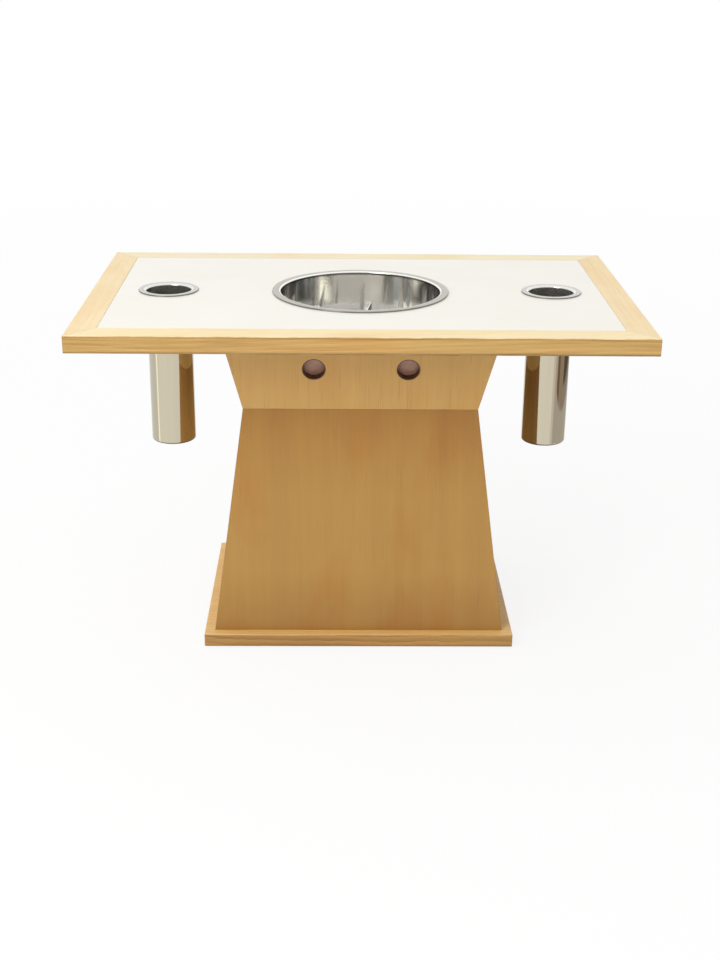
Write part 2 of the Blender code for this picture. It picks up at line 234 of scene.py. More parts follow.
def times(tree, a, b):
    return sums(tree, "MULTIPLY", a, b)


def plus(tree, a, b):
    return sums(tree, "ADD", a, b)


def vectorSums(tree, operation, a, b):
    return addNode(tree, "ShaderNodeVectorMath", {0: a, 1: b}, operation=operation).outputs[0]


def scaled(tree, vector, size):
    return addNode(tree, "ShaderNodeVectorMath", {0: vector, 3: size}, operation="SCALE").outputs[0]


def lengthOf(tree, vector):
    return addNode(tree, "ShaderNodeVectorMath", {0: vector}, operation="LENGTH").outputs["Value"]


def mixTone(tree, share, a, b, kind="MIX"):
    return addNode(tree, "ShaderNodeMix", {0: share, 6: a, 7: b}, data_type="RGBA",
                   blend_type=kind).outputs[2]


def tone(red, green, blue):
    return (red, green, blue, 1.0)


# shared effects

figure = {"wander": (0.8, 2.6, 2.6), "sway": (0.0, 0.05, 0.05), "broad": (0.8, 24.0, 24.0),
          "streak": (1.9, 95.0, 95.0), "fibre": (7.0, 430.0, 430.0), "patch": (5.0, 9.0, 9.0),
          "ruddy": (0.48, 0.68), "ruddyTone": tone(0.96, 0.84, 0.66), "dash": (8.0, 420.0, 420.0),
          "pores": (0.62, 0.76), "poreTone": tone(0.62, 0.50, 0.38), "ringPlace": (0.0, 0.31, 0.23),
          "ringTilt": (0.0, 1.6, 2.2), "ringScale": 34.0, "ringBend": 2.4, "ringDetail": 0.6,
          "sheen": (0.25, 0.75, 0.36, 0.50), "raised": 0.5}


def makeWoodGrain():  # grain runs along the vector's X
    tree, takes, gives = newGroup("woodGrain", (
        "Vector", "Light Tone", "Dark Tone", "Bands", "Streaks", "Fibre", "Rings", "Mottle", "Pores"),
        ("Color", "Roughness", "Height"))
    wander = noise(tree, takes["Vector"], figure["wander"])["Color"]
    centred = vectorSums(tree, "SUBTRACT", wander, (0.5, 0.5, 0.5))
    bent = vectorSums(tree, "ADD", takes["Vector"], vectorSums(tree, "MULTIPLY", centred, figure["sway"]))
    broad = noise(tree, bent, figure["broad"])["Fac"]
    streak = noise(tree, bent, figure["streak"], detail=4.0, roughness=0.6)["Fac"]
    fibre = noise(tree, bent, figure["fibre"])["Fac"]
    patches = noise(tree, bent, figure["patch"])["Fac"]
    dash = noise(tree, bent, figure["dash"], detail=1.0)["Fac"]
    tilted = mapped(tree, bent, figure["ringPlace"], figure["ringTilt"])
    rings = addNode(tree, "ShaderNodeTexWave", {"Vector": tilted, "Scale": figure["ringScale"],
                    "Distortion": figure["ringBend"], "Detail": 2.0, "Detail Scale": figure["ringDetail"]},
                    wave_type="RINGS", rings_direction="X", wave_profile="SAW").outputs["Fac"]
    bands, streaks, fine, ringed = [
        times(tree, sums(tree, "SUBTRACT", pattern, 0.5), takes[amount])
        for pattern, amount in ((broad, "Bands"), (streak, "Streaks"), (fibre, "Fibre"), (rings, "Rings"))]
    swing = plus(tree, plus(tree, bands, streaks), plus(tree, fine, ringed))
    body = mixTone(tree, sums(tree, "ADD", swing, 0.5, clamp=True), takes["Dark Tone"], takes["Light Tone"])
    ruddy = times(tree, reach(tree, patches, *figure["ruddy"]), takes["Mottle"])
    body = mixTone(tree, ruddy, body, figure["ruddyTone"], "MULTIPLY")
    pored = times(tree, reach(tree, dash, *figure["pores"]), takes["Pores"])
    tree.links.new(mixTone(tree, pored, body, figure["poreTone"], "MULTIPLY"), gives["Color"])
    tree.links.new(reach(tree, fibre, *figure["sheen"]), gives["Roughness"])
    raised = times(tree, fibre, figure["raised"])
    tree.links.new(sums(tree, "SUBTRACT", raised, pored), gives["Height"])
    return tree


edgeBreakup = {"patch": 18.0, "span": (0.38, 0.66)}


def makeEdgeWearAndHighlight():  # broken rubbing along rounded edges, which on the rails is also a painted highlight
    tree, takes, gives = newGroup("edgeWear", ("Vector", "Edge", "Amount"), ("Wear",))
    patch = noise(tree, takes["Vector"], edgeBreakup["patch"], detail=4.0, roughness=0.6)["Fac"]
    brokenEdge = times(tree, reach(tree, patch, *edgeBreakup["span"]), takes["Edge"])
    tree.links.new(times(tree, brokenEdge, takes["Amount"]), gives["Wear"])
    return tree


smears = {"cloud": 1.0, "cloudShare": 0.75, "wiped": (2.0, 30.0, 6.0), "wipedShare": 0.25,
          "span": (0.36, 0.64)}


def makeHandling():  # smears and fine wiping marks on smooth finishes
    tree, takes, gives = newGroup("handling", ("Vector", "Scale", "Clean", "Dull"), ("Roughness",))
    sized = scaled(tree, takes["Vector"], takes["Scale"])
    cloud = noise(tree, sized, smears["cloud"], detail=5.0, roughness=0.6)["Fac"]
    wiped = noise(tree, sized, smears["wiped"])["Fac"]
    both = plus(tree, times(tree, cloud, smears["cloudShare"]), times(tree, wiped, smears["wipedShare"]))
    smear = reach(tree, both, *smears["span"])
    tree.links.new(reach(tree, smear, 0.0, 1.0, takes["Clean"], takes["Dull"]), gives["Roughness"])
    return tree


turning = {"streaks": (42.0, 42.0, 1.6), "lines": 1.0, "detail": 3.0}


def makeTurnedLines():  # fine lines round a spun or drawn sheet, from the distance to its axis
    tree, takes, gives = newGroup("turnedLines", ("Vector", "Fineness"), ("Lines", "Streaks"))
    parts = addNode(tree, "ShaderNodeSeparateXYZ", {"Vector": takes["Vector"]}).outputs
    flat = addNode(tree, "ShaderNodeCombineXYZ", {"X": parts["X"], "Y": parts["Y"]}).outputs[0]
    path = addNode(tree, "ShaderNodeCombineXYZ", {"X": lengthOf(tree, flat), "Y": parts["Z"]}).outputs[0]
    sized = scaled(tree, path, takes["Fineness"])
    tree.links.new(noise(tree, sized, turning["lines"], turning["detail"])["Fac"], gives["Lines"])
    streaks = noise(tree, takes["Vector"], turning["streaks"], turning["detail"])["Fac"]
    tree.links.new(streaks, gives["Streaks"])
    return tree


woodGrain = makeWoodGrain()
edgeWear = makeEdgeWearAndHighlight()
handling = makeHandling()
turnedLines = makeTurnedLines()


# materials

def newMaterial(name, **constants):
    material = bpy.data.materials.new(name)
    material.use_nodes = True
    shader = material.node_tree.nodes["Principled BSDF"]
    for label, value in constants.items():
        shader.inputs[label].default_value = value
    return material, material.node_tree, shader


def objectVector(tree, location=(0, 0, 0), rotation=(0, 0, 0)):
    return mapped(tree, addNode(tree, "ShaderNodeTexCoord").outputs["Object"], location, rotation)


def edgeMask(tree, vector, amount):
    edge = addNode(tree, "ShaderNodeAttribute", attribute_name="edge").outputs["Fac"]
    return useGroup(tree, edgeWear, {"Vector": vector, "Edge": edge, "Amount": amount})["Wear"]


def handledRough(tree, vector, look):
    return useGroup(tree, handling, {"Vector": vector, "Scale": look["marks"], "Clean": look["clean"],
                                     "Dull": look["dull"]})["Roughness"]


def dress(tree, shader, body, rough):
    tree.links.new(body, shader.inputs["Base Color"])
    tree.links.new(rough, shader.inputs["Roughness"])


def bumpTo(tree, shader, height, distance):
    bump = addNode(tree, "ShaderNodeBump", {"Height": height, "Distance": distance, "Strength": 1.0})
    tree.links.new(bump.outputs[0], shader.inputs["Normal"])


facings = {"top": (0.35, 0.95), "under": (-0.25, -0.75), "belowTop": 0.5, "aboveUnder": -0.9}
boards = {"frontWeight": 1.7, "endStep": 0.45, "apart": 1.9}  # gives each panel its own stretch of grain


def panelVector(tree, place, facing, shift):  # height along the grain, then across whichever side it is
    sideways, forward = [sums(tree, "ABSOLUTE", facing[axis]) for axis in "XY"]
    endOn = sums(tree, "GREATER_THAN", sideways, forward)
    across = plus(tree, place["X"], times(tree, endOn, sums(tree, "SUBTRACT", place["Y"], place["X"])))
    weighed = plus(tree, facing["X"], times(tree, facing["Y"], boards["frontWeight"]))
    stepped = plus(tree, sums(tree, "SIGN", weighed), times(tree, endOn, boards["endStep"]))
    ownBoard = times(tree, stepped, boards["apart"])
    laid = addNode(tree, "ShaderNodeCombineXYZ", {"X": place["Z"], "Y": across, "Z": ownBoard}).outputs[0]
    return mapped(tree, laid, shift)


def woodMaterial(name, look):
    material, tree, shader = newMaterial(name)
    normal = addNode(tree, "ShaderNodeNewGeometry").outputs["Normal"]
    facing = addNode(tree, "ShaderNodeSeparateXYZ", {"Vector": normal}).outputs
    place = addNode(tree, "ShaderNodeSeparateXYZ", {"Vector": objectVector(tree)}).outputs
    up = facing["Z"]
    if look["turn"] == "panel":
        vector = panelVector(tree, place, facing, look["shift"])
    else:
        vector = objectVector(tree, look["shift"], look["turn"])
    light, dark = look["light"], look["dark"]
    if "topLight" in look:  # painted light: the upper faces lighter, as lit from above
        share = reach(tree, up, *facings["top"])
        light = mixTone(tree, share, light, look["topLight"])
        dark = mixTone(tree, share, dark, look["topDark"])
    grain = useGroup(tree, woodGrain, {"Vector": vector, "Light Tone": light, "Dark Tone": dark,
                     "Bands": look["bands"], "Streaks": look["streaks"], "Fibre": look["fibre"],
                     "Rings": look["rings"], "Mottle": look["mottle"], "Pores": look["pores"]})
    body = mixTone(tree, edgeMask(tree, vector, look["wear"]), grain["Color"], look["worn"])
    if "under" in look:  # painted shade: the lower faces darker, as they face away from the light
        body = mixTone(tree, reach(tree, up, *facings["under"]), body, look["under"], "MULTIPLY")
    upright = times(tree, sums(tree, "LESS_THAN", up, facings["belowTop"]),
                    sums(tree, "GREATER_THAN", up, facings["aboveUnder"]))
    for level, spread, shadeTone in look["stains"]:  # painted shade: darker along a height, fading over the spread
        apart = sums(tree, "ABSOLUTE", sums(tree, "SUBTRACT", place["Z"], level))
        share = times(tree, reach(tree, apart, spread, 0.0), upright)
        body = mixTone(tree, share, body, shadeTone, "MULTIPLY")
    dress(tree, shader, body, grain["Roughness"])
    bumpTo(tree, shader, grain["Height"], look["depth"])
    return material


# topLight and topDark paint the rails' tops lighter, as lit from above, each rail with its own lightness
railLook = {"light": tone(0.74, 0.475, 0.165), "dark": tone(0.335, 0.175, 0.033),
            "topLight": tone(0.985, 0.82, 0.49), "topDark": tone(0.90, 0.715, 0.385),
            "under": tone(0.74, 0.68, 0.60), "bands": 0.9, "streaks": 1.2, "fibre": 0.5, "rings": 0.16,
            # on the rails the worn edge tone is also a painted highlight along the arris
            "mottle": 0.6, "pores": 0.35, "wear": 0.8, "worn": tone(0.97, 0.82, 0.54), "depth": 0.00025,
            # two painted shade lines: one along the foot of the front face, one just under the arris
            "stains": [(0.7262, 0.0062, tone(0.40, 0.35, 0.25)), (0.7592, 0.0024, tone(0.80, 0.76, 0.67))],
            "shift": (0.4, 0.1, 0.0), "turn": (0, 0, 0)}
backRailLook = dict(railLook, shift=(2.7, 0.4, 0.2), topLight=tone(0.945, 0.84, 0.57),
                    topDark=tone(0.865, 0.74, 0.46))
endRailLook = dict(railLook, turn=(0, 0, 90), shift=(1.3, 0.2, 0.1), topLight=tone(0.95, 0.765, 0.45),
                   topDark=tone(0.87, 0.665, 0.37))
upperLook = {"light": tone(0.63, 0.374, 0.110), "dark": tone(0.52, 0.293, 0.079), "bands": 0.8,
             "streaks": 0.4, "fibre": 0.4, "rings": 0.0, "mottle": 0.35, "pores": 0.5, "stains": [],
             "wear": 0.35, "worn": tone(0.60, 0.40, 0.18), "depth": 0.0002, "shift": (0.0, 0.0, 0.7),
             "turn": "panel"}
# the lower panels are painted darker near the foot and just under the waist, as shade
lowerLook = dict(upperLook, light=tone(0.475, 0.262, 0.060), dark=tone(0.375, 0.195, 0.039), mottle=0.8,
                 pores=0.22, streaks=0.3, shift=(0.31, 0.17, 0.2),
                 stains=[(0.033, 0.14, tone(0.82, 0.76, 0.62)), (0.5475, 0.20, tone(0.88, 0.77, 0.52))])
# topLight and topDark paint the base's top lighter, as lit from above
baseLook = {"light": tone(0.49, 0.272, 0.072), "dark": tone(0.265, 0.127, 0.029),
            "topLight": tone(0.88, 0.585, 0.22), "topDark": tone(0.72, 0.445, 0.143),
            "under": tone(0.74, 0.68, 0.60), "bands": 0.8, "streaks": 0.9, "fibre": 0.5, "rings": 0.6,
            "mottle": 0.3, "pores": 0.3, "wear": 0.6, "worn": tone(0.70, 0.48, 0.23), "depth": 0.0003,
            # a painted shade line along the foot of the base, where it meets the floor
            "stains": [(0.003, 0.005, tone(0.5, 0.45, 0.38))], "shift": (0.2, 0.5, 0.3), "turn": (0, 0, 0)}
rawLook = {"light": tone(0.47, 0.32, 0.165), "dark": tone(0.38, 0.245, 0.115), "bands": 1.0,
           "streaks": 1.0, "fibre": 0.5, "rings": 0.3, "mottle": 0.3, "pores": 0.6, "stains": [],
           "wear": 0.0, "worn": tone(0.6, 0.5, 0.35), "depth": 0.0004, "shift": (0.6, 0.3, 0.2),
           "turn": (0, 0, 0)}

paleOak = woodMaterial("paleOak", railLook)
paleOakBack = woodMaterial("paleOakBack", backRailLook)
paleOakEnds = woodMaterial("paleOakEnds", endRailLook)
goldenOakUpper = woodMaterial("goldenOakUpper", upperLook)
goldenOakLower = woodMaterial("goldenOakLower", lowerLook)
goldenOakBase = woodMaterial("goldenOakBase", baseLook)
rawBoard = woodMaterial("rawBoard", rawLook)
rawBoardEnds = woodMaterial("rawBoardEnds", dict(rawLook, turn=(0, 0, 90)))

slabLook = {"clear": tone(0.91, 0.88, 0.80), "cloudy": tone(0.885, 0.85, 0.765),
            "fleck": tone(0.79, 0.76, 0.68), "cloud": 5.0, "grit": 420.0,
            "fleckSpan": (0.20, 0.10), "chosen": (0.80, 0.84), "fleckShare": 0.3, "marks": 6.0,
            "clean": 0.24, "dull": 0.27}


def makeWhiteStone():
    material, tree, shader = newMaterial("whiteStone")
    vector = objectVector(tree)
    cloud = noise(tree, vector, slabLook["cloud"], detail=4.0, roughness=0.55)["Fac"]
    body = mixTone(tree, reach(tree, cloud, *noiseSpan), slabLook["cloudy"], slabLook["clear"])
    grit = addNode(tree, "ShaderNodeTexVoronoi", {"Vector": vector, "Scale": slabLook["grit"]}).outputs
    fleck = reach(tree, grit["Distance"], *slabLook["fleckSpan"])
    pick = addNode(tree, "ShaderNodeSeparateColor", {0: grit["Color"]}).outputs[0]  # differs cell by cell
    chosen = times(tree, fleck, reach(tree, pick, *slabLook["chosen"]))
    share = times(tree, chosen, slabLook["fleckShare"])
    body = mixTone(tree, share, body, slabLook["fleck"])
    dress(tree, shader, body, handledRough(tree, vector, slabLook))
    return material


def steelMaterial(name, look):
    material, tree, shader = newMaterial(name, Metallic=look["metal"])
    vector = objectVector(tree, look["shift"])
    lines = useGroup(tree, turnedLines, {"Vector": vector, "Fineness": look["fineness"]})
    streaked = reach(tree, lines["Streaks"], *noiseSpan, 0.0, look["streaks"])
    body = mixTone(tree, streaked, look["bright"], look["grey"])
    if "shadeLine" in look:  # painted dark reflection, a line round the wall under its fold
        low, high, shade = look["shadeLine"]
        height = addNode(tree, "ShaderNodeSeparateXYZ", {"Vector": vector}).outputs["Z"]
        body = mixTone(tree, reach(tree, height, low, high), body, shade, "MULTIPLY")
    lined = reach(tree, lines["Lines"], *noiseSpan, 0.0, look["lined"])
    dress(tree, shader, body, plus(tree, handledRough(tree, vector, look), lined))
    bumpTo(tree, shader, lines["Lines"], look["depth"])
    return material


wellLook = {"bright": tone(0.825, 0.812, 0.782), "grey": tone(0.785, 0.772, 0.742), "streaks": 0.8,
            "marks": 9.0, "clean": 0.06, "dull": 0.09, "lined": 0.015, "fineness": 700.0,
            "depth": 0.000004, "metal": 0.98, "shift": (0, 0, 0)}
# shadeLine paints a dark reflection round the wall just under its fold
wallLook = dict(wellLook, shadeLine=(0.7580, 0.7592, tone(0.28, 0.275, 0.25)))
# painted shade: the well's flange is much darker than its wall, though both are one sheet
flangeLook = dict(wellLook, bright=tone(0.46, 0.44, 0.375), grey=tone(0.425, 0.405, 0.345), clean=0.12,
                  dull=0.18, lined=0.04)
# painted highlight: the fold is brighter than the wall
foldLook = dict(wellLook, bright=tone(0.95, 0.94, 0.91), grey=tone(0.90, 0.89, 0.86), clean=0.08, dull=0.12)
# painted shade and dark reflection: near-black steel on the lips, the foot of each fold and the cups'
# bottom edges
paintedDarkLook = dict(wellLook, bright=tone(0.20, 0.195, 0.18), grey=tone(0.16, 0.155, 0.14), clean=0.2, dull=0.3)
floorLook = dict(wellLook, bright=tone(0.74, 0.725, 0.695), grey=tone(0.68, 0.665, 0.635), clean=0.13,
                 dull=0.17)
finLook = dict(wellLook, bright=tone(0.86, 0.84, 0.80), grey=tone(0.82, 0.80, 0.76), clean=0.24, dull=0.34,
               metal=0.25)
# painted shade for one side of the fin in view
finShadeLook = dict(finLook, bright=tone(0.17, 0.165, 0.15), grey=tone(0.14, 0.135, 0.12))
cupLook = {"bright": tone(0.615, 0.555, 0.425), "grey": tone(0.545, 0.49, 0.375), "streaks": 0.5,
           "marks": 14.0, "clean": 0.05, "dull": 0.09, "lined": 0.02, "fineness": 800.0,
           "depth": 0.000006, "metal": 1.0}
cupInsideLook = dict(cupLook, bright=tone(0.70, 0.685, 0.64), grey=tone(0.63, 0.615, 0.57), clean=0.18,
                     dull=0.26, metal=0.97)
cupFlangeLook = dict(flangeLook, bright=tone(0.585, 0.575, 0.545), grey=tone(0.545, 0.535, 0.505))
# painted highlight: the cup's fold is brighter than its wall
cupFoldLook = dict(foldLook, bright=tone(0.84, 0.83, 0.80), grey=tone(0.78, 0.77, 0.74))

whiteStone = makeWhiteStone()
finSteel = steelMaterial("finSteel", finLook)
finShade = steelMaterial("finShade", finShadeLook)
lipSteel = steelMaterial("lipSteel", paintedDarkLook)
wellSteel = [steelMaterial("wellSteel", wallLook), steelMaterial("flangeSteel", flangeLook),
             steelMaterial("foldSteel", foldLook), lipSteel, steelMaterial("floorSteel", floorLook)]
cupReach = (nodeMiddle("ladle_cup_right") - nodeMiddle("ladle_cup_left")).x / 2
cupSteel = {}
for hand, x in (("Left", -cupReach), ("Right", cupReach)):  # lines run round each cup's own axis
    cupSteel[hand] = [steelMaterial(name + hand, dict(look, shift=(-x, 0, 0))) for name, look in (
        ("cupSteel", cupLook), ("cupInside", cupInsideLook), ("cupFlange", cupFlangeLook),
        ("cupFold", cupFoldLook))] + [lipSteel]

plasticLook = {"cloud": 60.0, "wear": 0.4, "worn": tone(0.30, 0.18, 0.12), "marks": 40.0,
               "clean": 0.22, "dull": 0.34, "pits": 900.0, "depth": 0.00005}
discLook = dict(plasticLook, body=tone(0.36, 0.19, 0.13), pale=tone(0.44, 0.24, 0.17))
# painted shade: the cap's rim and the side of its recess are near black
rimShadeLook = dict(plasticLook, body=tone(0.075, 0.026, 0.006), pale=tone(0.10, 0.036, 0.010))
feltLook = {"body": tone(0.03, 0.027, 0.024), "pale": tone(0.11, 0.10, 0.09), "rough": 0.95,
            "fuzz": 900.0, "depth": 0.0006}
zincLook = {"body": tone(0.62, 0.56, 0.40), "pale": tone(0.64, 0.63, 0.58), "metal": 1.0,
            "cloud": 260.0, "detail": 2.0, "marks": 220.0, "clean": 0.28, "dull": 0.45}
siliconeLook = {"body": tone(0.62, 0.62, 0.59), "pale": tone(0.76, 0.76, 0.74), "metal": 0.0,
                "cloud": 70.0, "detail": 3.0, "marks": 60.0, "clean": 0.45, "dull": 0.65}


def plasticMaterial(name, look):
    material, tree, shader = newMaterial(name)
    vector = objectVector(tree)
    cloud = reach(tree, noise(tree, vector, look["cloud"], detail=3.0)["Fac"], *noiseSpan)
    body = mixTone(tree, cloud, look["body"], look["pale"])
    body = mixTone(tree, edgeMask(tree, vector, look["wear"]), body, look["worn"])
    dress(tree, shader, body, handledRough(tree, vector, look))
    bumpTo(tree, shader, noise(tree, vector, look["pits"], detail=1.0)["Fac"], look["depth"])
    return material


def makeFelt():
    material, tree, shader = newMaterial("felt", Roughness=feltLook["rough"])
    fuzz = noise(tree, objectVector(tree), feltLook["fuzz"], detail=4.0, roughness=0.7)["Fac"]
    tree.links.new(mixTone(tree, fuzz, feltLook["body"], feltLook["pale"]), shader.inputs["Base Color"])
    bumpTo(tree, shader, fuzz, feltLook["depth"])
    return material


def cloudedMaterial(name, look):  # two tones in small clouds
    material, tree, shader = newMaterial(name, Metallic=look["metal"])
    vector = objectVector(tree)
    cloud = noise(tree, vector, look["cloud"], look["detail"])["Fac"]
    body = mixTone(tree, cloud, look["body"], look["pale"])
    dress(tree, shader, body, handledRough(tree, vector, look))
    return material


brownDisc = plasticMaterial("brownDisc", discLook)
brownRim = plasticMaterial("brownRim", rimShadeLook)
felt = makeFelt()
zinc = cloudedMaterial("zinc", zincLook)
silicone = cloudedMaterial("silicone", siliconeLook)
print("materials ready,", len(bpy.data.materials))


# table top

top = {"length": 1.200, "depth": 0.773, "level": 0.763, "railWidth": 0.060, "railHeight": 0.037,
       "round": 0.0018, "mitreGap": 0.00015, "grooveLow": 0.73405, "grooveHigh": 0.74265,
       "grooveDepth": 0.0103, "slabThick": 0.012, "slabGap": 0.0003, "slabEase": 0.0004, "rimTurn": 1.0,
       "wellHole": 0.183, "wellSteps": 128, "cupHole": 0.0575, "cupSteps": 72}
railOaks = (paleOak, paleOakEnds, paleOakBack, paleOakEnds)  # in the order of the sides


def makeRails():
    low, high = top["level"] - top["railHeight"], top["level"]
    halves = (top["length"] / 2, top["depth"] / 2)
    for turn, side in enumerate(sides):
        run, out = halves if turn % 2 == 0 else halves[::-1]
        inner = top["railWidth"] - out
        deep = inner - top["grooveDepth"]
        section = [(-out, low), (inner, low), (inner, top["grooveLow"]), (deep, top["grooveLow"]),
                   (deep, top["grooveHigh"]), (inner, top["grooveHigh"]), (inner, high), (-out, high)]
        bm = startMesh()
        end = bm.faces.new([bm.verts.new((-run, y, z)) for y, z in section])
        drawOut(bm, [end], (2 * run, 0, 0))
        for hand in (-1, 1):  # mitre both ends
            normal = Vector((hand, 1, 0)).normalized()
            cutAway(bm, Vector((hand * run, -out, 0)) - normal * top["mitreGap"], normal)
        bmesh.ops.recalc_face_normals(bm, faces=bm.faces)
        arris = edgesWhere(bm, lambda co: near(co.y, -out) and (near(co.z, low) or near(co.z, high)))
        arris = [edge for edge in arris if near(edge.verts[0].co.z, edge.verts[1].co.z)]
        roundEdges(bm, arris, top["round"], segments=4)
        turnRound(bm, 90 * turn)
        seatPiece("edgeRail" + side, bm, "edge_rail_" + side.lower(), [railOaks[turn]],
                  even=True)


def makeSlab():
    halfLength = top["length"] / 2 - top["railWidth"] - top["slabGap"]
    halfDepth = top["depth"] / 2 - top["railWidth"] - top["slabGap"]
    holes = [(0.0, top["wellHole"], top["wellSteps"])]
    holes += [(x, top["cupHole"], top["cupSteps"]) for x in (-cupReach, cupReach)]
    bm = startMesh()
    bmesh.ops.create_grid(bm, x_segments=1, y_segments=1, size=1.0)
    bmesh.ops.scale(bm, verts=bm.verts, vec=(halfLength, halfDepth, 1))
    bmesh.ops.delete(bm, geom=bm.faces[:], context="FACES_ONLY")
    for x, radius, steps in holes:
        bmesh.ops.create_circle(bm, segments=steps, radius=radius, matrix=Matrix.Translation((x, 0, 0)))
    bmesh.ops.triangle_fill(bm, use_beauty=True, edges=bm.edges[:])
    moveBy(bm, (0, 0, top["level"] - top["slabThick"]))
    drawOut(bm, bm.faces[:], (0, 0, top["slabThick"]))
    bmesh.ops.recalc_face_normals(bm, faces=bm.faces)
    rim = edgesWhere(bm, lambda co: near(co.z, top["level"])
                     and (near(abs(co.x), halfLength) or near(abs(co.y), halfDepth)))
    rim = [edge for edge in rim if len(edge.link_faces) == 2 and edge.calc_face_angle() > top["rimTurn"]]
    roundEdges(bm, rim, top["slabEase"], segments=2)
    seatPiece("topSlab", bm, "top_slab", [whiteStone], even=True)


makeRails()
makeSlab()
print("table top made")


# folded sheet, for the pot well and the ladle cups

folding = {"lip": 5, "fold": 8, "bend": 6, "sharp": 50}  # segments of each turn, and the sharp angle
flangeBands = {"foldTop": 0.9, "foldFoot": 0.3, "slack": 0.0001, "lipTilt": 0.75}


def faceUp(bm):  # the seen side of an open sheet faces up and inwards
    bmesh.ops.recalc_face_normals(bm, faces=bm.faces)
    highest = max(bm.faces, key=lambda face: (round(face.calc_center_median().z, 5), abs(face.normal.z)))
    if highest.normal.z < 0:
        bmesh.ops.reverse_faces(bm, faces=bm.faces)


def foldedSheet(sizes):  # flange, wall and floor, with the table's surface at zero
    wall, flange, rise, floor = sizes["wall"], sizes["flange"], sizes["rise"], sizes["floor"]
    bm = spunSheet([(flange, sizes["foot"]), (flange, rise), (wall, rise), (wall, floor),
                    (sizes["floorHole"], floor)], sizes["steps"])
    for radius, height, turn in ((flange, rise, "lip"), (wall, rise, "fold"), (wall, floor, "bend")):
        roundEdges(bm, ringEdges(bm, radius, height), sizes[turn], folding[turn])
    faceUp(bm)
    bmesh.ops.solidify(bm, geom=bm.faces[:], thickness=sizes["sheet"])
    return bm


def paintFlange(bm, sizes, first):  # flange, its inner fold painted bright as a highlight, then its lip and the foot of the fold painted dark as shade and dark reflection
    wall, fold = sizes["wall"], sizes["fold"]
    inside, foldReach = wall - flangeBands["slack"], wall + fold * flangeBands["foldTop"]
    foldLevel, footRise = sizes["rise"] - fold, fold * flangeBands["foldFoot"]
    lipFrom = sizes["flange"] - sizes["lip"]
    paintFaces(bm, first, lambda middle, normal: middle.xy.length > foldReach and middle.z > foldLevel)
    paintFaces(bm, first + 1, lambda middle, normal: inside < middle.xy.length < foldReach
               and middle.z > foldLevel + footRise and normal.z > 0)
    paintFaces(bm, first + 2, lambda middle, normal: inside < middle.xy.length < wall + footRise
               and foldLevel < middle.z < foldLevel + footRise)
    paintFaces(bm, first + 2, lambda middle, normal: middle.xy.length > lipFrom
               and normal.z < flangeBands["lipTilt"])


# pot well and its fins

well = {"wall": 0.178, "flange": 0.1975, "rise": 0.003, "foot": 0.0003, "lip": 0.0018, "fold": 0.004,
        "floor": -0.1238, "floorHole": 0.045, "bend": 0.0048, "sheet": 0.0012, "steps": 192}
# dull names the fin that has painted shade on its side facing the front
fin = {"wall": 0.176, "floor": 0.6395, "corner": 0.009, "foot": 0.035, "height": 0.054, "sheet": 0.003,
       "firstAngle": 80.5, "lean": 38, "round": 0.0006, "names": ("Back", "Left", "Front", "Right"),
       "dull": "Back", "dullTilt": 0.9}


def makeWell():
    bm = foldedSheet(well)
    paintFlange(bm, well, 1)  # 0 stays on the wall, 4 goes on the floor
    paintFaces(bm, 4, lambda middle, normal: middle.z < well["floor"] + well["bend"])
    moveBy(bm, (0, 0, top["level"]))
    seatPiece("potWell", bm, "pot_well", wellSteel, sharp=folding["sharp"])


def makeFins():
    outline = [(fin["corner"], 0), (fin["foot"], 0), (0, fin["height"]), (0, fin["corner"])]
    for index, hand in enumerate(fin["names"]):
        degrees = fin["firstAngle"] + 90 * index
        angle = math.radians(degrees)
        bm = startMesh()
        face = bm.faces.new([bm.verts.new((x, -fin["sheet"] / 2, z)) for x, z in outline])
        drawOut(bm, [face], (0, fin["sheet"], 0))
        bmesh.ops.recalc_face_normals(bm, faces=bm.faces)
        roundEdges(bm, bm.edges[:], fin["round"], segments=2)
        materials = [finSteel]
        if hand == fin["dull"]:  # one fin has painted shade on the side that faces the front
            paintFaces(bm, 1, lambda middle, normal: normal.y > fin["dullTilt"])
            materials.append(finShade)
        turnRound(bm, degrees + 90 + fin["lean"])
        moveBy(bm, (fin["wall"] * math.cos(angle), fin["wall"] * math.sin(angle), fin["floor"]))
        seatPiece("hobFin" + hand, bm, "hob_lug_" + hand.lower(), materials, even=True)


makeWell()
makeFins()
print("pot well made")


# ladle cups

cup = {"wall": 0.0493, "flange": 0.067, "rise": 0.0028, "foot": 0.0003, "lip": 0.0018, "fold": 0.006,
       "floor": -0.3498, "floorHole": 0.0, "bend": 0.0048, "sheet": 0.0012, "steps": 128,
       "insideTilt": 0.4, "footTilt": -0.25}


def makeCups():
    for hand, x in (("Left", -cupReach), ("Right", cupReach)):
        bm = foldedSheet(cup)
        paintFaces(bm, 1, lambda middle, normal: normal.xy.dot(middle.xy) < 0
                   or normal.z > cup["insideTilt"])
        paintFlange(bm, cup, 2)  # 0 stays on the outside
        # painted dark reflection along the cup's bottom edge
        paintFaces(bm, 4, lambda middle, normal: middle.z < cup["floor"] + cup["bend"]
                   and normal.z < cup["footTilt"])
        moveBy(bm, (x, 0, top["level"]))
        node = "ladle_cup_" + hand.lower()  # also the body's name
        seatPiece("ladleCup" + hand, bm, node, cupSteel[hand], body=node, sharp=folding["sharp"],
                  even=True)


makeCups()
print("ladle cups made")


# pedestal

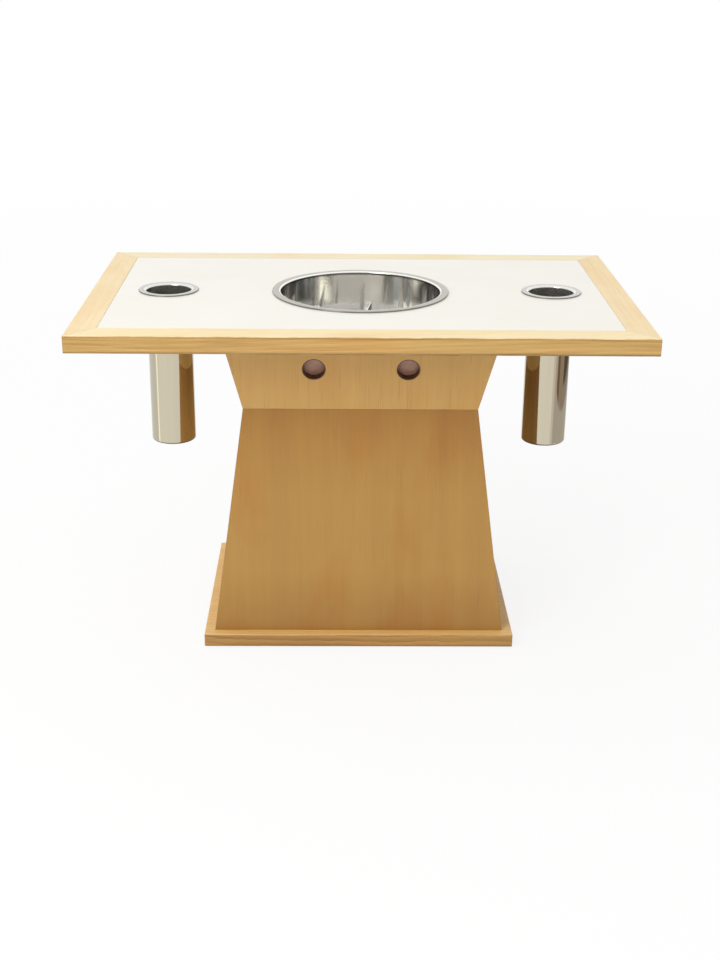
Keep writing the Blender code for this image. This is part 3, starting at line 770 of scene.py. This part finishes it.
pedestal = {"foot": (0.3255, 0.2355), "waist": (0.256, 0.193), "funnel": (0.299, 0.236),
            "footLevel": 0.033, "waistLevel": 0.5475, "funnelLevel": 0.726, "thick": 0.018, "gap": 0.0003,
            "mitreGap": 0.00021, "corner": 0.0007, "longEdge": 0.1, "crease": 0.0003,
            "holeReach": 0.10125, "holeLevel": 0.644, "holeRadius": 0.0255, "holeEase": 0.0008,
            "holeSteps": 96, "holeRim": 0.0002, "drill": 0.08}


def pedestalHalf(level):
    if level >= pedestal["waistLevel"]:
        far, end = pedestal["funnel"], pedestal["funnelLevel"]
    else:
        far, end = pedestal["foot"], pedestal["footLevel"]
    share = (level - pedestal["waistLevel"]) / (end - pedestal["waistLevel"])
    return tuple(waist + (other - waist) * share for waist, other in zip(pedestal["waist"], far))


funnelLean = math.atan2(pedestal["funnel"][1] - pedestal["waist"][1],
                        pedestal["funnelLevel"] - pedestal["waistLevel"])
outward = Matrix.Rotation(math.pi / 2 + funnelLean, 4, "X")  # turns +Z to the funnel's front normal


def holePlace(hand):
    level = pedestal["holeLevel"]
    place = Vector((hand * pedestal["holeReach"], -pedestalHalf(level)[1], level))
    return Matrix.Translation(place) @ outward


def panelBlock(turn, low, high):  # laid out at the front, to be turned to its side
    bm = startMesh()
    bmesh.ops.create_cube(bm, size=2.0)
    for vert in bm.verts:
        level = high if vert.co.z > 0 else low
        half = pedestalHalf(level)
        run, out = half if turn % 2 == 0 else half[::-1]
        inset = pedestal["thick"] if vert.co.y > 0 else 0.0
        vert.co = (math.copysign(run - inset - pedestal["mitreGap"], vert.co.x), inset - out, level)
    bmesh.ops.recalc_face_normals(bm, faces=bm.faces)
    return bm


def easePanel(bm, crease):  # crease is the height where the panel meets the other at the waist
    outer = max(bm.faces, key=lambda face: (-face.normal.y, face.calc_area()))
    level = [edge for edge in outer.edges if all(near(vert.co.z, crease) for vert in edge.verts)]
    corners = [edge for edge in outer.edges
               if abs(edge.verts[0].co.z - edge.verts[1].co.z) > pedestal["longEdge"]]
    roundEdges(bm, level, pedestal["crease"], segments=3)
    corners = [edge for edge in corners if edge.is_valid]
    roundEdges(bm, corners, pedestal["corner"], segments=3)


def boreFront(bm):
    radius, depth, steps = pedestal["holeRadius"], pedestal["drill"], pedestal["holeSteps"]
    places = [holePlace(hand) for hand in (-1, 1)]
    bm = boreHoles(bm, [drillRod(radius, depth, steps, place) for place in places])
    rims = []
    for place in places:
        back = place.inverted()
        rims += edgesWhere(bm, lambda co: near((back @ co).xy.length, radius)
                           and abs((back @ co).z) < pedestal["holeRim"])
    roundEdges(bm, rims, pedestal["holeEase"], segments=3)
    return bm


def makePanels():
    half = pedestal["gap"] / 2
    upper = (pedestal["waistLevel"] + half, pedestal["funnelLevel"] - pedestal["gap"])
    lower = (pedestal["footLevel"] + pedestal["gap"], pedestal["waistLevel"] - half)
    for turn, side in enumerate(sides):
        for part, levels, crease, oak in (("upper", upper, upper[0], goldenOakUpper),
                                          ("lower", lower, lower[1], goldenOakLower)):
            bm = panelBlock(turn, *levels)
            easePanel(bm, crease)
            if part == "upper" and side == "Front":
                bm = boreFront(bm)
            turnRound(bm, 90 * turn)
            seatPiece(part + "Panel" + side, bm, part + "_panel_" + side.lower(), [oak],
                      even=True)


cap = {"outer": 0.0252, "inner": 0.0236, "face": 0.0003, "depth": 0.0175, "crown": 0.0015,
       "domeSteps": 10, "sheet": 0.0016, "lip": 0.0295, "gap": 0.0003, "steps": 96, "round": 0.0005,
       "rimFrom": 0.99}


def makeCaps():
    inner, outer, face = cap["inner"], cap["outer"], -cap["face"]
    floor = -cap["depth"] - cap["gap"]
    back = floor - cap["sheet"]
    bulge = cap["crown"] / inner ** 2
    radii = [inner * step / cap["domeSteps"] for step in range(cap["domeSteps"] + 1)]
    dome = [(radius, floor + cap["crown"] - bulge * radius ** 2) for radius in radii]
    for hand, name in ((-1, "Left"), (1, "Right")):
        bm = spunSheet(dome + [(inner, face), (outer, face), (outer, floor), (cap["lip"], floor),
                               (cap["lip"], back), (0, back)], cap["steps"])
        roundEdges(bm, ringEdges(bm, inner, face) + ringEdges(bm, outer, face), cap["round"], segments=3)
        # faces out from the dome, the rim and the side of the recess, are painted near black as the shade
        # in the hole
        paintFaces(bm, 1, lambda middle, normal: middle.xy.length > inner * cap["rimFrom"])
        bmesh.ops.transform(bm, verts=bm.verts, matrix=holePlace(hand))
        seatPiece("holeCap" + name, bm, "hole_cap_" + name.lower(), [brownDisc, brownRim])


makePanels()
makeCaps()
print("pedestal made")


# base board, pads and screws

base = {"halfLength": 0.3485, "halfDepth": 0.2585, "low": 0.003, "high": 0.033, "round": 0.0022,
        "cable": 0.030, "cableSteps": 96, "bore": 0.0053, "boreTop": 0.013, "boreDrill": 0.02,
        "boreSteps": 40, "shank": 0.0028, "shankRise": 0.045, "shankSteps": 24, "drill": 0.1}
pad = {"radius": 0.018, "thick": 0.0027, "round": 0.0007, "steps": 48}
screw = {"length": 0.045, "shank": 0.0025, "tip": 0.006, "head": 0.005, "headFlat": 0.0033, "edge": 0.0018,
         "headHeight": 0.0035, "round": 0.0006, "steps": 32, "slot": 0.0011, "slotLong": 0.0054,
         "slotDeep": 0.0016}


def nodesFrom(start):
    return [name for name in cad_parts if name.startswith(start)]


def makeBase():
    thick = base["high"] - base["low"]
    bm = boxMesh((2 * base["halfLength"], 2 * base["halfDepth"], thick))
    moveBy(bm, (0, 0, base["low"] + thick / 2))
    roundEdges(bm, bm.edges[:], base["round"], segments=4)
    drills = [drillRod(base["cable"], base["drill"], base["cableSteps"], Matrix.Identity(4))]
    for node in nodesFrom("base_screw"):
        x, y, _ = nodeMiddle(node)
        shank = Matrix.Translation((x, y, base["boreTop"] + base["shankRise"]))
        drills.append(drillRod(base["shank"], base["drill"], base["shankSteps"], shank))
        bore = Matrix.Translation((x, y, base["boreTop"] - base["boreDrill"] / 2))
        drills.append(drillRod(base["bore"], base["boreDrill"], base["boreSteps"], bore))
    bm = boreHoles(bm, drills)
    seatPiece("baseBoard", bm, "base_plate", [goldenOakBase], even=True)


def makePads():
    radius, thick = pad["radius"], pad["thick"]
    for node in nodesFrom("foot_pad"):
        bm = spunSheet([(0, thick), (radius, thick), (radius, 0), (0, 0)], pad["steps"])
        roundEdges(bm, ringEdges(bm, radius, thick) + ringEdges(bm, radius, 0), pad["round"], segments=3)
        x, y, _ = nodeMiddle(node)
        moveBy(bm, (x, y, 0))
        hand = "".join(word.capitalize() for word in node.split("_")[2:])
        seatPiece("feltPad" + hand, bm, node, [felt])


def makeScrews():
    shank, length, head, edge = screw["shank"], screw["length"], screw["head"], -screw["edge"]
    flat, end = screw["headFlat"], -screw["headHeight"]
    for node in nodesFrom("base_screw") + nodesFrom("top_screw"):
        bm = spunSheet([(0, length), (shank, length - screw["tip"]), (shank, 0), (head, 0), (head, edge),
                        (flat, end), (0, end)], screw["steps"])
        roundEdges(bm, ringEdges(bm, head, edge) + ringEdges(bm, flat, end), screw["round"], segments=3)
        cross = []
        for size in ((screw["slotLong"], screw["slot"]), (screw["slot"], screw["slotLong"])):
            blade = boxMesh((*size, 2 * screw["slotDeep"]))
            moveBy(blade, (0, 0, end))
            cross.append(blade)
        bm = boreHoles(bm, cross)
        x, y, _ = nodeMiddle(node)
        moveBy(bm, (x, y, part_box(node)[1].z - length))
        words = node.split("_")
        seatPiece(words[0] + "Screw" + words[2].capitalize() + words[3], bm, node, [zinc])


def dressNodes():  # CAD pieces whose shape is right as it is
    for node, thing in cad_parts.items():
        lengthwise = not node.endswith(("left", "right"))
        if node == "well_seal":
            material = silicone
        elif node == "core_board" or "cleat" in node:
            material = rawBoard if lengthwise else rawBoardEnds
        else:
            continue
        thing.data.materials.clear()
        thing.data.materials.append(material)


makeBase()
makePads()
makeScrews()
dressNodes()
print("base and fittings made")


# floor, light and camera

studio = {"floorHalf": 60.0, "floorLevel": -0.0004, "glow": 0.85, "shown": 0.95, "whiteFrom": 1.5,
          "whiteTo": 6.0, "bounce": 0.9, "ambient": 0.82, "lean": 0.55, "lampPlace": (-2.54, -3.67, 3.52),
          "lampAim": (0.0, 0.0, 0.5), "lampSize": 2.4, "lampPower": 104.0}
endless = 99  # more mirrorings than a ray makes
# panels out of view that only polished metal mirrors: middle, which way it faces, width, height and tone,
# then for the far ones the fewest and most mirrorings that show them, so that only the pot well does
cards = {"dimRoom": ((2.0, -5.4, 3.4), "Y", 7.2, 6.0, tone(0.14, 0.135, 0.12), 4, endless),
         "leftWindow": ((-4.0, 1.5, 3.4), "X", 8.0, 4.4, tone(4.8, 5.0, 4.9), 5, 5),
         "rightWindow": ((4.0, 0.9, 3.4), "X", 3.6, 4.4, tone(0.46, 0.70, 0.90), 5, endless),
         "blueDoor": ((1.6, -5.2, 3.4), "Y", 2.8, 4.4, tone(0.46, 0.56, 0.62), 5, endless),
         "leftScreen": ((-1.0, 0.41, 0.4), "X", 1.0, 0.8, tone(0.84, 0.87, 0.88)),
         "leftStrip": ((-0.99, -0.165, 0.4), "X", 0.07, 0.8, tone(1.6, 1.6, 1.5)),
         "rightFade": ((0.84, -0.6, 0.37), "Y", 0.18, 0.74, tone(0.82, 0.79, 0.79)),
         "rightScreen": ((1.055, -0.6, 0.37), "Y", 0.25, 0.74, tone(0.60, 0.56, 0.54)),
         "rightPost": ((1.38, -0.6, 0.45), "X", 0.31, 0.58, tone(0.22, 0.155, 0.105)),
         "rightShelf": ((1.38, -0.215, 0.45), "X", 0.46, 0.58, tone(0.40, 0.31, 0.25)),
         "rightDoor": ((1.38, 0.76, 0.505), "X", 1.49, 0.47, tone(0.12, 0.11, 0.095)),
         "rightWall": ((1.45, 0.85, 0.35), "X", 1.7, 0.7, tone(0.37, 0.34, 0.32)),
         "rightLow": ((1.1, 0.27, 0.1675), "X", 1.62, 0.235, tone(0.57, 0.55, 0.54))}
viewpoint = {"place": (-0.0526, -3.1854, 1.5432), "pitch": 21.195, "yaw": -1.012, "roll": 0.599,
             "lens": 54.35, "clipEnd": 300}


def bareTree(holder):  # a material's or the world's nodes, emptied
    holder.use_nodes = True
    holder.node_tree.nodes.clear()
    return holder.node_tree


def mixShader(tree, share, first, second):
    return addNode(tree, "ShaderNodeMixShader", {0: share, 1: first, 2: second}).outputs[0]


def seenDirectly(tree):  # camera, mirror and glass rays
    path = addNode(tree, "ShaderNodeLightPath").outputs
    share = sums(tree, "MAXIMUM", path["Is Camera Ray"], path["Is Glossy Ray"])
    return sums(tree, "MAXIMUM", share, path["Is Transmission Ray"])


def sheetMesh(width, height):
    bm = bmesh.new()
    bmesh.ops.create_grid(bm, x_segments=1, y_segments=1, size=0.5)
    bmesh.ops.scale(bm, verts=bm.verts, vec=(width, height, 1))
    return bm


def makeFloor():
    bm = sheetMesh(2 * studio["floorHalf"], 2 * studio["floorHalf"])
    moveBy(bm, (0, 0, studio["floorLevel"]))
    floor = looseObject("studioFloor", bm)
    material = bpy.data.materials.new("studioFloor")
    tree = bareTree(material)
    seen = seenDirectly(tree)
    colour = mixTone(tree, seen, tone(*[studio["bounce"]] * 3), tone(*[studio["shown"]] * 3))
    lit = addNode(tree, "ShaderNodeBsdfDiffuse", {"Color": colour}).outputs[0]
    glow = addNode(tree, "ShaderNodeEmission", {"Strength": 1.0}).outputs[0]
    away = lengthOf(tree, addNode(tree, "ShaderNodeTexCoord").outputs["Object"])
    whiter = reach(tree, away, studio["whiteFrom"], studio["whiteTo"], studio["glow"], 1.0)
    white = mixShader(tree, times(tree, seen, whiter), lit, glow)
    clear = addNode(tree, "ShaderNodeBsdfTransparent").outputs[0]
    under = addNode(tree, "ShaderNodeNewGeometry").outputs["Backfacing"]  # clear when seen from below
    addNode(tree, "ShaderNodeOutputMaterial", {"Surface": mixShader(tree, under, white, clear)})
    floor.data.materials.append(material)


def makeLight():
    world = bpy.data.worlds.new("studio")
    bpy.context.scene.world = world
    tree = bareTree(world)
    toward = addNode(tree, "ShaderNodeTexCoord").outputs["Generated"]
    right = addNode(tree, "ShaderNodeSeparateXYZ", {"Vector": toward}).outputs["X"]
    leftLevel, rightLevel = [studio["ambient"] * (1 + way * studio["lean"]) for way in (1, -1)]
    level = reach(tree, right, -1.0, 1.0, leftLevel, rightLevel)
    soft, white = [addNode(tree, "ShaderNodeBackground", {"Color": tone(1, 1, 1), "Strength": strength})
                   for strength in (level, 1.0)]
    either = mixShader(tree, seenDirectly(tree), soft.outputs[0], white.outputs[0])
    addNode(tree, "ShaderNodeOutputWorld", {"Surface": either})
    lamp = bpy.data.lights.new("keyLight", "AREA")
    lamp.energy = studio["lampPower"]
    lamp.size = studio["lampSize"]
    key = bpy.data.objects.new("keyLight", lamp)
    place, aim = Vector(studio["lampPlace"]), Vector(studio["lampAim"])
    facing = (aim - place).to_track_quat("-Z", "Y").to_matrix().to_4x4()
    key.matrix_world = Matrix.Translation(place) @ facing
    bpy.context.scene.collection.objects.link(key)


def makeCards():
    upright = Matrix.Rotation(math.pi / 2, 3, "X")
    for name, (middle, facing, width, height, colour, *limits) in cards.items():
        fewest, most = limits or (1, endless)
        bm = sheetMesh(width, height)
        turn = Matrix.Rotation(math.radians(90 if facing == "X" else 0), 3, "Z")
        bmesh.ops.rotate(bm, verts=bm.verts, cent=(0, 0, 0), matrix=turn @ upright)
        moveBy(bm, middle)
        card = looseObject(name, bm)
        material = bpy.data.materials.new(name)
        tree = bareTree(material)
        mirrored = addNode(tree, "ShaderNodeLightPath").outputs["Glossy Depth"]
        seen = times(tree, sums(tree, "GREATER_THAN", mirrored, fewest - 0.5),
                     sums(tree, "LESS_THAN", mirrored, most + 0.5))
        clear = addNode(tree, "ShaderNodeBsdfTransparent").outputs[0]
        glow = addNode(tree, "ShaderNodeEmission", {"Color": colour, "Strength": 1.0}).outputs[0]
        addNode(tree, "ShaderNodeOutputMaterial", {"Surface": mixShader(tree, seen, clear, glow)})
        card.data.materials.append(material)
        card.visible_camera = card.visible_diffuse = card.visible_shadow = card.visible_transmission = False


def makeCamera():
    lens = bpy.data.cameras.new("camera")
    lens.lens = viewpoint["lens"]
    lens.clip_end = viewpoint["clipEnd"]
    camera = bpy.data.objects.new("camera", lens)
    camera.matrix_world = (Matrix.Translation(viewpoint["place"])
                           @ Matrix.Rotation(math.radians(viewpoint["yaw"]), 4, "Z")
                           @ Matrix.Rotation(math.radians(90 - viewpoint["pitch"]), 4, "X")
                           @ Matrix.Rotation(math.radians(viewpoint["roll"]), 4, "Z"))
    bpy.context.scene.collection.objects.link(camera)
    bpy.context.scene.camera = camera


bpy.context.scene.view_settings.view_transform = "Standard"
makeFloor()
makeLight()
makeCards()
makeCamera()
print("studio ready")
